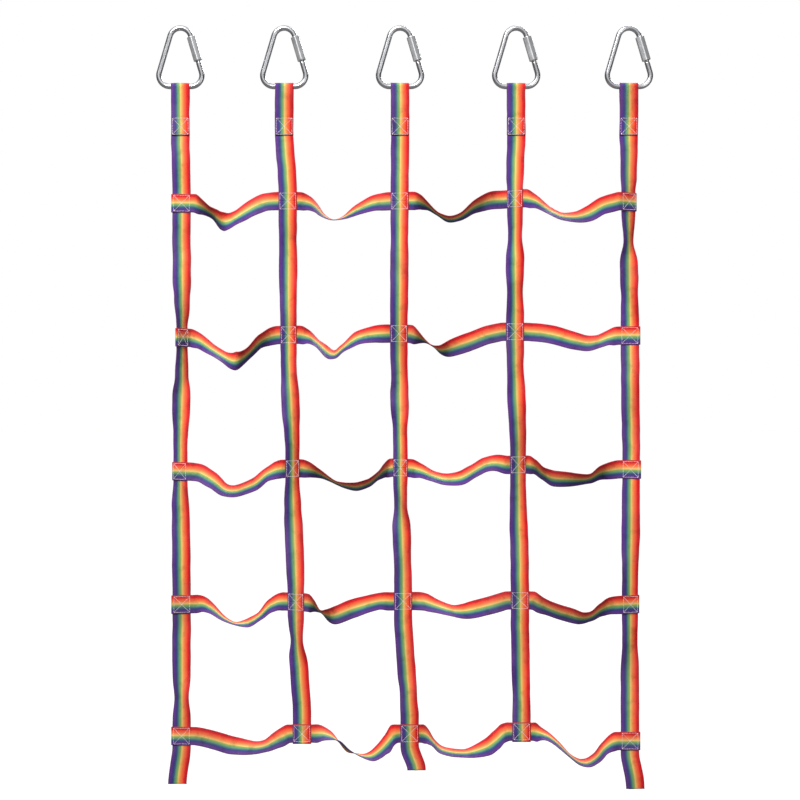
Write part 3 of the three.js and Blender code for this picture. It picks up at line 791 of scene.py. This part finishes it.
def column_run(top, bottom, rolls):
    """A length between two places, with the degrees of roll at its top, its quarters and its bottom."""
    share = np.linspace(0, 1, RUN_POINTS)
    x, y = (top[i] + (bottom[i] - top[i]) * eased(share) for i in (0, 1))
    z = top[2] + (bottom[2] - top[2]) * share
    place = share * (len(rolls) - 1)
    quarter = np.minimum(place.astype(int), len(rolls) - 2)
    rolls = np.array(rolls, float)
    roll = rolls[quarter] + (rolls[quarter + 1] - rolls[quarter]) * eased(place - quarter)
    return np.stack([x, y, z], 1), np.radians(roll)


def rolls_above(column, row):
    upper, lower = COLUMN_TWISTS[column - 1][row - 1]
    end = CROSSING_TURNS[row - 1][column - 1]
    if row == 1:
        return [0, upper, (upper + lower) / 2, lower, end]
    return [CROSSING_TURNS[row - 2][column - 1], upper, 0, lower, end]


def crossing_point(column, row, side=0.0):
    z = crossing_z(column, row) + side * FLAT_HALF
    return np.array([crossing_x(column, row), STRAP_Y + column_layer(column, row), z])


def turned_crossing(column, row):
    return crossing_point(column, row)[None], np.array([crossing_turn(column, row)])


def joined(*parts):
    """One path from several, each a point, a row of points, or points with their rolls."""
    points, rolls = [], []
    for part in parts:
        if isinstance(part, tuple):
            points.append(part[0])
            rolls.append(part[1])
        else:
            part = np.atleast_2d(part)
            points.append(part)
            rolls.append(np.zeros(len(part)))
    return np.vstack(points), np.concatenate(rolls)


def build_column_piece(name, column, parts, seams, bodies, nodes, start_at, seed, cuts):
    """Builds the webbing for these nodes, bent from start to end, and says where it stops along the strap."""
    points, rolls, at = resample(*joined(*parts))
    crossings = [crossing_z(column, row) for row in rows]
    gap = np.min([np.abs(points[:, 2] - z) for z in crossings], axis=0)
    piece = webbing(
        name, points, rolls, (1, 0, 0), strap_webbing, seed,
        seams=seams, calm=calmness(gap), cuts=cuts, start_at=start_at,
    )
    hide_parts(*nodes)
    finish_webbing(piece, bodies)
    return start_at + float(at[-1])


def loop_path(column):
    x = loop_x[column]
    lean = math.asin((LOOP_RADIUS - STRAP_Y) / (BAR_Z - SEAM_TOP_Z))
    angles = np.linspace(-lean, math.pi + lean, LOOP_POINTS)
    arc = [[x, -LOOP_RADIUS * math.cos(a), BAR_Z + LOOP_RADIUS * math.sin(a)] for a in angles]
    return np.array([[x, -STRAP_Y, SEAM_END_Z], [x, -STRAP_Y, SEAM_TOP_Z], *arc, [x, STRAP_Y, SEAM_TOP_Z]])


def last_end(column):
    """Where a column ends at the last rung: folded up in front of it, run on to a tail, or cut behind it."""
    x, z = crossing_x(column, ROWS), crossing_z(column, ROWS)
    if outer(column):
        return crossing_point(column, ROWS)
    if column == 3:
        return np.array([x, STRAP_Y + column_layer(column, ROWS), z - HALF_WIDTH + END_TAB_INSET])
    fold = [
        [x, STRAP_Y + LAYER_PITCH * math.cos(a), z - HALF_WIDTH - LAYER_PITCH * math.sin(a)]
        for a in np.linspace(0, math.pi, FOLD_POINTS)
    ]
    return np.array([*fold, [x, STRAP_Y - LAYER_PITCH, z + HALF_WIDTH - END_TAB_INSET]])


def build_column(column):
    seed = 1000 * column
    seam_end = np.array([loop_x[column], STRAP_Y, SEAM_END_Z])
    parts = [
        loop_path(column), column_run(seam_end, crossing_point(column, 1, 1), rolls_above(column, 1)),
        turned_crossing(column, 1),
    ]
    seams = [loop_seams[column], crossing_seams[column, 1]]
    at = build_column_piece(
        f"strap_webbing_{column}_loop", column, parts, seams, ["row_1"], [f"strap_{column}_loop"],
        0.0, seed, cuts=(True, False),
    )
    for row in rows[1:]:
        top, bottom = crossing_point(column, row - 1, -1), crossing_point(column, row, 1)
        ending = last_end(column) if row == ROWS else turned_crossing(column, row)
        parts = [turned_crossing(column, row - 1), column_run(top, bottom, rolls_above(column, row)), ending]
        at = build_column_piece(
            f"strap_webbing_{column}_length_{row}", column, parts,
            [crossing_seams[column, row - 1], crossing_seams[column, row]],
            [f"row_{row - 1}", f"row_{row}"], [f"strap_{column}_section_{row}"],
            at, seed + 10 * row,
            cuts=(False, row == ROWS and not outer(column)),
        )
    return at


# ---- Tails ----
TAIL_NAMES = {1: "left_tail", 3: "middle_tail", 5: "right_tail"}


def build_tail(column, start_at):
    name = TAIL_NAMES[column]
    x, z = crossing_x(column, ROWS), crossing_z(column, ROWS)
    y = STRAP_Y - LAYER_PITCH if column == 3 else STRAP_Y
    nodes = [f"tail_{column}"] + (["tail_patch_3"] if column == 3 else [])
    first = np.array([x, y, z + HALF_WIDTH - END_TAB_INSET if column == 3 else z])
    top = np.array([x, y, tail_fold_z(column)])
    bottom = np.array([x + TAIL_LEANS[column], y, z - TAIL_DROPS[column]])
    build_column_piece(
        f"{name}_webbing", column, [first, column_run(top, bottom, (0, 0))], [crossing_seams[column, ROWS]],
        ["row_5", name], nodes,
        start_at, 1000 * column + 90, cuts=(column == 3, True),
    )


# ---- Stitching ----
STITCH_PITCH = 0.0042
STITCH_LENGTH = 0.0031
THREAD_RADIUS = 0.00056
THREAD_SIDES = 7
STITCH_WOBBLE = 0.00025
# Along a stitch: share of its length, height over the webbing in thread radii, share of the radius.
STITCH_SHAPE = [
    (0.0, -1.2, 0.5), (0.12, 0.1, 0.9), (0.35, 0.55, 1.0),
    (0.65, 0.55, 1.0), (0.88, 0.1, 0.9), (1.0, -1.2, 0.5),
]
STITCH_SINK = HALF_THICKNESS - PUCKER_DEPTH / 2  # from a layer's middle to where its stitches lie


def seam_lines(seam):
    """The sewn box's four sides and two diagonals, as pairs of ends."""
    hx, hz = seam.half_x, seam.half_z
    corners = [(-hx, -hz), (hx, -hz), (hx, hz), (-hx, hz)]
    sides = [(corners[i], corners[(i + 1) % 4]) for i in range(4)]
    return sides + [(corners[0], corners[2]), (corners[3], corners[1])]


def stitches_on(seam, back, facing, rng):
    """Each stitch's two ends and the way it faces: -1 in front of the layers, 1 behind them."""
    found = []
    for (x0, z0), (x1, z1) in seam_lines(seam):
        length = math.hypot(x1 - x0, z1 - z0)
        count = max(1, round(length / STITCH_PITCH))
        for i in range(count):
            middle_share = (i + 0.5) / count
            reach = STITCH_LENGTH / 2 / length
            ends = []
            for share in (middle_share - reach, middle_share + reach):
                wobble = rng.normal(scale=STITCH_WOBBLE, size=2)
                sideways = x0 + (x1 - x0) * share + wobble[0]
                ends.append(seam.place(sideways, back, z0 + (z1 - z0) * share + wobble[1]))
            found.append((ends[0], ends[1], facing * seam.back))
    return found


def stitching(name, stitches, body):
    starts, ends = (np.array([stitch[i] for stitch in stitches]) for i in (0, 1))
    outward = np.array([stitch[2] for stitch in stitches])
    along = ends - starts
    side = np.cross(along, outward)
    side /= np.linalg.norm(side, axis=1)[:, None]
    angles = np.arange(THREAD_SIDES) * 2 * np.pi / THREAD_SIDES
    rings = []
    for share, height, girth in STITCH_SHAPE:
        middle_point = starts + along * share + outward * height * THREAD_RADIUS
        radius = THREAD_RADIUS * girth
        ring = [middle_point + radius * (side * math.cos(a) + outward * math.sin(a)) for a in angles]
        rings.append(np.stack(ring, 1))
    vertices = np.stack(rings, 1)
    ring_count = vertices.shape[1]
    quads = ring_quads(ring_count, THREAD_SIDES)
    corner = np.arange(THREAD_SIDES)
    stitch_base = np.arange(len(stitches)) * ring_count * THREAD_SIDES
    faces = list((quads[None] + stitch_base[:, None, None]).reshape(-1, 4))
    last = (ring_count - 1) * THREAD_SIDES
    for base in stitch_base:
        faces.append(base + corner[::-1])
        faces.append(base + last + corner)
    vertices = vertices.reshape(-1, 3)
    faces = facing_out(faces, vertices - vertices[quads[:, 0]].mean(0), quads)
    piece = mesh_object(name, vertices, faces, stitch_thread)
    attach(piece, body)


def layer_faces(column, row):
    """The front and back faces of the sewn layers at a crossing, back from the strap's mid-plane."""
    layers = [rung_layer(column, row), column_layer(column, row)]
    if outer(column):
        layers.append(LAYER_PITCH)
    elif row == ROWS:
        layers.append(-LAYER_PITCH)
    return min(layers) - STITCH_SINK, max(layers) + STITCH_SINK


def build_stitching():
    for row in rows:
        rng = np.random.default_rng(7000 + row)
        stitches = []
        for column in columns:
            front, back = layer_faces(column, row)
            stitches += stitches_on(crossing_seams[column, row], front, -1, rng)
            stitches += stitches_on(crossing_seams[column, row], back, 1, rng)
        stitching(f"stitching_row_{row}", stitches, f"row_{row}")
    rng = np.random.default_rng(7100)
    stitches = []
    for column in columns:
        stitches += stitches_on(loop_seams[column], -LAYER_PITCH - STITCH_SINK, -1, rng)
        stitches += stitches_on(loop_seams[column], STITCH_SINK, 1, rng)
    stitching("stitching_loops", stitches, "row_1")


# ---- Quick links ----
ROD_SIDES = 32
THREAD_PITCH = 0.0016
THREAD_DEPTH = 0.0005
GATE_CHAMFER = 0.0008
GATE_END = GATE_START + GATE_OPENING
UPPER_THREAD = (0.001, GATE_START - GATE_CHAMFER)  # along the leg
LOWER_THREAD = (GATE_END + GATE_CHAMFER, SLEEVE_START + SLEEVE_LENGTH + 0.008)
FINE_END = LOWER_THREAD[1] + 0.002
ROD_STEP = 0.0004  # between rings on the threads
PLAIN_STEP = 0.006
ARC_POINTS = 22
CROWN_CENTRE_Z = ROD_RADIUS - CROWN_RADIUS
CORNER_Z = BAR_Z + CORNER_RADIUS
BAR_HALF = HALF_WIDTH + BAR_SIDE_CLEARANCE
LEG_LEAN = math.atan2(LEG_DOWN.x, -LEG_DOWN.z)
LEG_OUT = Vector((math.cos(LEG_LEAN), 0, math.sin(LEG_LEAN)))
LEG_TOP = Vector((0, 0, CROWN_CENTRE_Z)) + CROWN_RADIUS * LEG_OUT


def leg_point(distance):
    return LEG_TOP + LEG_DOWN * distance


def rod(name, centres, radii, sides, material):
    """A bar in the plane of the net, through centres, with a radius for each side at each of them."""
    centres = np.array(centres, float)
    along = np.gradient(centres, axis=0)
    along /= np.linalg.norm(along, axis=1)[:, None]
    out = np.cross(np.array([0, 1, 0]), along)
    angles = np.arange(sides) * 2 * np.pi / sides
    sideways = out[:, None, :] * np.cos(angles)[None, :, None]
    back = np.array([0, 1, 0]) * np.sin(angles)[None, :, None]
    rings = centres[:, None, :] + np.array(radii)[..., None] * (sideways + back)
    quads = ring_quads(len(centres), sides)
    corner = np.arange(sides)
    last = (len(centres) - 1) * sides
    faces = [*quads, corner[::-1], last + corner]
    vertices = rings.reshape(-1, 3)
    return mesh_object(
        name, vertices, facing_out(faces, vertices, quads), material, [len(quads), len(quads) + 1]
    )


def arc(centre_x, centre_z, radius, start, end):
    angles = np.linspace(start, end, ARC_POINTS)
    return [(centre_x + radius * math.cos(a), 0, centre_z + radius * math.sin(a)) for a in angles]


def leg_stretch(start, end, step):
    count = max(2, round(abs(end - start) / step) + 1)
    return [tuple(leg_point(distance)) for distance in np.linspace(start, end, count)]


def thread_radius(distance, angle):
    """The rod's radius on a leg: a helical thread where the sleeve runs, and a chamfer at the gap."""
    radius = ROD_RADIUS
    for first, last in (UPPER_THREAD, LOWER_THREAD):
        if first <= distance <= last:
            turn = distance / THREAD_PITCH + angle / (2 * math.pi)
            fade = min(1, (distance - first) / THREAD_PITCH, (last - distance) / THREAD_PITCH)
            radius -= THREAD_DEPTH * fade * (0.5 + 0.5 * math.cos(2 * math.pi * turn))
    to_gap = min(abs(distance - GATE_START), abs(distance - GATE_END))
    return radius - max(0, GATE_CHAMFER - to_gap)


def build_link(column):
    """From the gap down the right leg, round by the bar and the crown, and back to the gap."""
    quarter = math.pi / 2
    leg_length = (Vector((BAR_HALF, 0, CORNER_Z)) - Vector((0, 0, CROWN_CENTRE_Z))).dot(LEG_DOWN)
    path = leg_stretch(GATE_END, FINE_END, ROD_STEP)
    distances = list(np.linspace(GATE_END, FINE_END, len(path)))
    plain = leg_stretch(FINE_END, leg_length, PLAIN_STEP)[1:-1]
    plain += arc(BAR_HALF, CORNER_Z, CORNER_RADIUS, LEG_LEAN, -quarter)
    plain += arc(-BAR_HALF, CORNER_Z, CORNER_RADIUS, -quarter, -math.pi - LEG_LEAN)
    plain += arc(0, CROWN_CENTRE_Z, CROWN_RADIUS, math.pi - LEG_LEAN, LEG_LEAN)[:-1]
    upper = leg_stretch(0, GATE_START, ROD_STEP)
    path += plain + upper
    distances += [-1.0] * len(plain) + list(np.linspace(0, GATE_START, len(upper)))
    angles = np.arange(ROD_SIDES) * 2 * np.pi / ROD_SIDES
    radii = [
        [ROD_RADIUS if distance < 0 else thread_radius(distance, angle) for angle in angles]
        for distance in distances
    ]
    centres = [(x + loop_x[column], y, z) for x, y, z in path]
    piece = rod(f"link_rod_{column}", centres, radii, ROD_SIDES, link_steel)
    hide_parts(f"quick_link_{column}")
    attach(piece, "links")


SLEEVE_SIDES = 96
SLEEVE_ROUNDING = 0.0004
CHAMFER_ROUNDING = 0.0002
BORE_LIP = 0.0008
END_FACE_SHARE = 0.97  # of the flats, across the face at each end
CHAMFER_SLOPE = math.tan(math.radians(60))
SLEEVE_STEPS = [0, 0.0002, 0.0006, 0.001, 0.0015, 0.002, 0.003, 0.005]


def sleeve_radius(angle, from_end):
    """A hexagon nut's outline with rounded corners, turned down to a cone at both ends."""
    sixth = math.pi / 3
    hexagon = SLEEVE_FLATS / 2 / np.cos((angle + sixth / 2) % sixth - sixth / 2)
    cone = SLEEVE_FLATS / 2 * END_FACE_SHARE + from_end * CHAMFER_SLOPE
    corner = SLEEVE_FLATS / math.sqrt(3) - SLEEVE_ROUNDING
    outline = -np.logaddexp(-hexagon / SLEEVE_ROUNDING, -corner / SLEEVE_ROUNDING) * SLEEVE_ROUNDING
    return -np.logaddexp(-outline / CHAMFER_ROUNDING, -cone / CHAMFER_ROUNDING) * CHAMFER_ROUNDING


def build_sleeve(column):
    """The closed profile runs down outside, then up the bore."""
    outside = SLEEVE_STEPS + [SLEEVE_LENGTH - step for step in SLEEVE_STEPS[::-1]]
    bore = [
        (SLEEVE_LENGTH, SLEEVE_BORE + BORE_LIP), (SLEEVE_LENGTH - BORE_LIP, SLEEVE_BORE),
        (BORE_LIP, SLEEVE_BORE), (0, SLEEVE_BORE + BORE_LIP),
    ]
    angles = 2 * math.pi * np.arange(SLEEVE_SIDES) / SLEEVE_SIDES
    rings = [(z, sleeve_radius(angles, min(z, SLEEVE_LENGTH - z))) for z in outside]
    rings += [(z, np.full(SLEEVE_SIDES, radius)) for z, radius in bore]
    start = leg_point(SLEEVE_START) + Vector((loop_x[column], 0, 0))
    spokes = np.outer(np.cos(angles), LEG_OUT) + np.outer(np.sin(angles), (0, 1, 0))
    vertices = np.concatenate([np.array(LEG_DOWN) * z + spokes * radii[:, None] for z, radii in rings])
    count = len(rings)
    corner = np.arange(SLEEVE_SIDES)
    after = (corner + 1) % SLEEVE_SIDES
    faces, flat_faces = [], []
    for ring in range(count):
        here, there = ring * SLEEVE_SIDES, ((ring + 1) % count) * SLEEVE_SIDES
        if ring in (len(outside) - 1, count - 1):
            flat_faces += range(len(faces), len(faces) + SLEEVE_SIDES)
        faces += list(np.stack([here + corner, here + after, there + after, there + corner], -1))
    faces = facing_out(faces, vertices, np.array(faces))
    piece = mesh_object(
        f"link_sleeve_{column}", vertices + np.array(start), faces, sleeve_steel, flat_faces
    )
    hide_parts(f"screw_sleeve_{column}")
    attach(piece, f"sleeve_{column}")


# ---- Stage, light and camera ----
FLOOR_DROP = 0.07  # from the net's lowest end down to the floor
FLOOR_REACH = 60
VIEW_WIDTH = 2.08
VIEW_CENTRE = (0, 0, -0.960)
LENS = 85
SENSOR = 36


def stage_material():
    """A pale floor that meets the white surroundings without a line, and takes a faint shadow."""
    m = Tree("pale_floor")
    m.tree.nodes.remove(m.shader)
    output = m.of_type("OUTPUT_MATERIAL")
    glow = m.node("ShaderNodeEmission")
    glow.inputs["Color"].default_value = (1, 1, 1, 1)
    seen = m.node("ShaderNodeLightPath").outputs["Is Camera Ray"]
    m.link(m.spread(seen, 0.0, 1.0, 0.06, 0.95), glow.inputs["Strength"])
    paint = m.node("ShaderNodeBsdfDiffuse")
    paint.inputs["Color"].default_value = (0.12, 0.12, 0.12, 1)
    both = m.node("ShaderNodeAddShader")
    m.link(glow.outputs[0], both.inputs[0])
    m.link(paint.outputs[0], both.inputs[1])
    m.link(both.outputs[0], output.inputs[0])
    return m.material


def build_stage():
    floor_z = cad_box[0].z - FLOOR_DROP
    bpy.ops.mesh.primitive_circle_add(
        vertices=64, radius=FLOOR_REACH, fill_type="NGON", location=(0, 0, floor_z)
    )
    floor = bpy.context.object
    floor.name = "floor"
    floor.data.materials.append(stage_material())


def build_surroundings():
    """A white studio to the camera. What the net sees is brighter above and in front, dark at the sides."""
    world = bpy.data.worlds.new("surroundings")
    bpy.context.scene.world = world
    w = Nodes(world)
    background = w.of_type("BACKGROUND")
    background.inputs["Color"].default_value = (1, 1, 1, 1)
    way = w.node("ShaderNodeSeparateXYZ")
    w.link(w.node("ShaderNodeTexCoord").outputs["Generated"], way.inputs[0])
    above = w.spread(way.outputs[2], -0.1, 0.8, 0.06, 0.75)
    flanks = w.spread(w.math("ABSOLUTE", way.outputs[0]), 0.5, 0.9, 1.0, 0.2)
    front = w.spread(way.outputs[1], -0.96, -0.66, 0.8, 0.0)
    lit = w.math("MAXIMUM", w.math("MULTIPLY", above, flanks), front)
    seen = w.node("ShaderNodeLightPath").outputs["Is Camera Ray"]
    w.link(w.spread(seen, 0.0, 1.0, lit, 1.0), background.inputs["Strength"])


def area_light(name, place, target, size, power):
    data = bpy.data.lights.new(name, "AREA")
    data.shape = "DISK"
    data.size = size
    data.energy = power
    light = bpy.data.objects.new(name, data)
    light.location = place
    light.rotation_euler = (Vector(target) - Vector(place)).to_track_quat("-Z", "Y").to_euler()
    light.visible_camera = False
    bpy.context.scene.collection.objects.link(light)


def build_lights():
    """Each light's place, what it is aimed at, its size and its watts."""
    target = (0, 0, -0.95)
    area_light("key", (-1.6, -3.6, 3.2), target, 1.4, 400)
    area_light("fill", (2.8, -4.0, -1.3), target, 3.0, 40)
    area_light("back", (1.8, 4.4, 2.4), target, 2.6, 240)


def build_camera():
    data = bpy.data.cameras.new("camera")
    data.lens, data.sensor_width = LENS, SENSOR
    camera = bpy.data.objects.new("camera", data)
    distance = VIEW_WIDTH * LENS / SENSOR
    camera.location = (VIEW_CENTRE[0], -distance, VIEW_CENTRE[2])
    camera.rotation_euler = (math.pi / 2, 0, 0)
    bpy.context.scene.collection.objects.link(camera)
    bpy.context.scene.camera = camera


bpy.context.scene.view_settings.view_transform = "Standard"
build_camera()
build_stage()
build_surroundings()
build_lights()
for row in rows:
    build_rung(row)
for column in columns:
    end_of_column = build_column(column)
    if column in TAIL_NAMES:
        build_tail(column, end_of_column)
    build_link(column)
    build_sleeve(column)
build_stitching()
